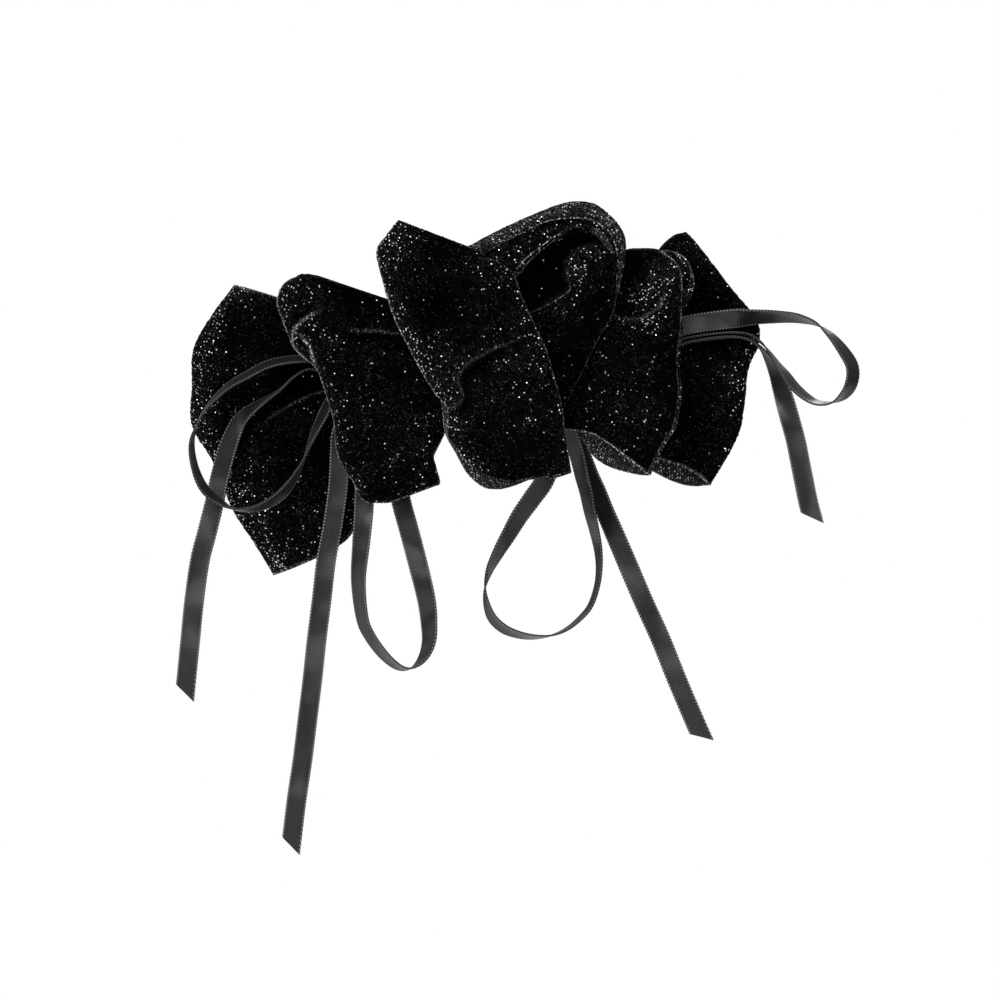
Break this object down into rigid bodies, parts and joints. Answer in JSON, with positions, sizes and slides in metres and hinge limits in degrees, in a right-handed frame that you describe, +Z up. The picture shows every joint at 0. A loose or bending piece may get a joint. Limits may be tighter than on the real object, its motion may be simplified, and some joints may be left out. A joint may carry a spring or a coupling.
{
  "type": "hair bow",
  "caption": "Hair bow of folded glitter-velvet loops with narrow satin ribbon bows and hanging tails, on a sprung hair clip with a hinged clasp arm.",
  "frame": {"origin": "middle of the base plate's flat seat, on the hair side, where the clip presses on the hair", "axes": "+X along the bow's length to the viewer's right, +Z up as worn, -Y out of the front of the bow and +Y towards the head"},
  "size_m": [0.2087, 0.065, 0.1954],
  "materials": {
    "steel": "nickel-plated stamped steel",
    "spring_steel": "nickel-plated spring steel",
    "felt": "matte wool felt",
    "thread": "twisted polyester thread",
    "velvet": "pile velvet with fine silver glitter",
    "satin": "woven satin ribbon"
  },
  "bodies": {
    "bow_and_plate": {"base_plate": "steel", "hinge_pin": "steel", "leaf_rivet": "steel", "felt_backing": "felt", "thread_wrap_left": "thread", "thread_wrap_right": "thread", "velvet_loop_far_left": "velvet", "velvet_loop_left": "velvet", "velvet_loop_front": "velvet", "velvet_loop_centre": "velvet", "velvet_loop_right": "velvet", "velvet_loop_far_right": "velvet", "velvet_gather_core": "velvet", "satin_knot_left": "satin", "satin_knot_right": "satin", "satin_loop_left_outer": "satin", "satin_tail_left_outer": "satin", "satin_tail_left_inner": "satin", "satin_loop_left_inner": "satin", "satin_loop_right_inner": "satin", "satin_tail_right_inner": "satin", "satin_loop_right_outer": "satin", "satin_tail_right_outer": "satin"},
    "clasp": {"clasp_arm": "steel"},
    "leaf": {"tension_leaf": "spring_steel"},
    "prong_upper": {"catch_prong_upper": "spring_steel"},
    "prong_lower": {"catch_prong_lower": "spring_steel"}
  },
  "joints": [
    {"name": "clasp_hinge", "type": "hinge", "parent": "bow_and_plate", "child": "clasp", "pos_m": [0.0425, 0.0089, 0], "axis": [0, 0, -1], "range_deg": [0, 70]},
    {"name": "leaf_flex", "type": "hinge", "parent": "bow_and_plate", "child": "leaf", "pos_m": [0.033, 0.003, 0], "axis": [0, 0, -1], "range_deg": [0, 3.6]},
    {"name": "prong_upper_squeeze", "type": "hinge", "parent": "bow_and_plate", "child": "prong_upper", "pos_m": [-0.042, 0.0052, 0.00165], "axis": [-1, 0, 0], "range_deg": [0, 6], "stiffness_Nm_per_rad": 0.002},
    {"name": "prong_lower_squeeze", "type": "hinge", "parent": "bow_and_plate", "child": "prong_lower", "pos_m": [-0.042, 0.0052, -0.00165], "axis": [-1, 0, 0], "range_deg": [-6, 0], "stiffness_Nm_per_rad": 0.002}
  ],
  "couplings": [
    {"joint": "leaf_flex", "follows": "clasp_hinge", "ratio": 0.05},
    {"joint": "prong_lower_squeeze", "follows": "prong_upper_squeeze", "ratio": -1}
  ]
}
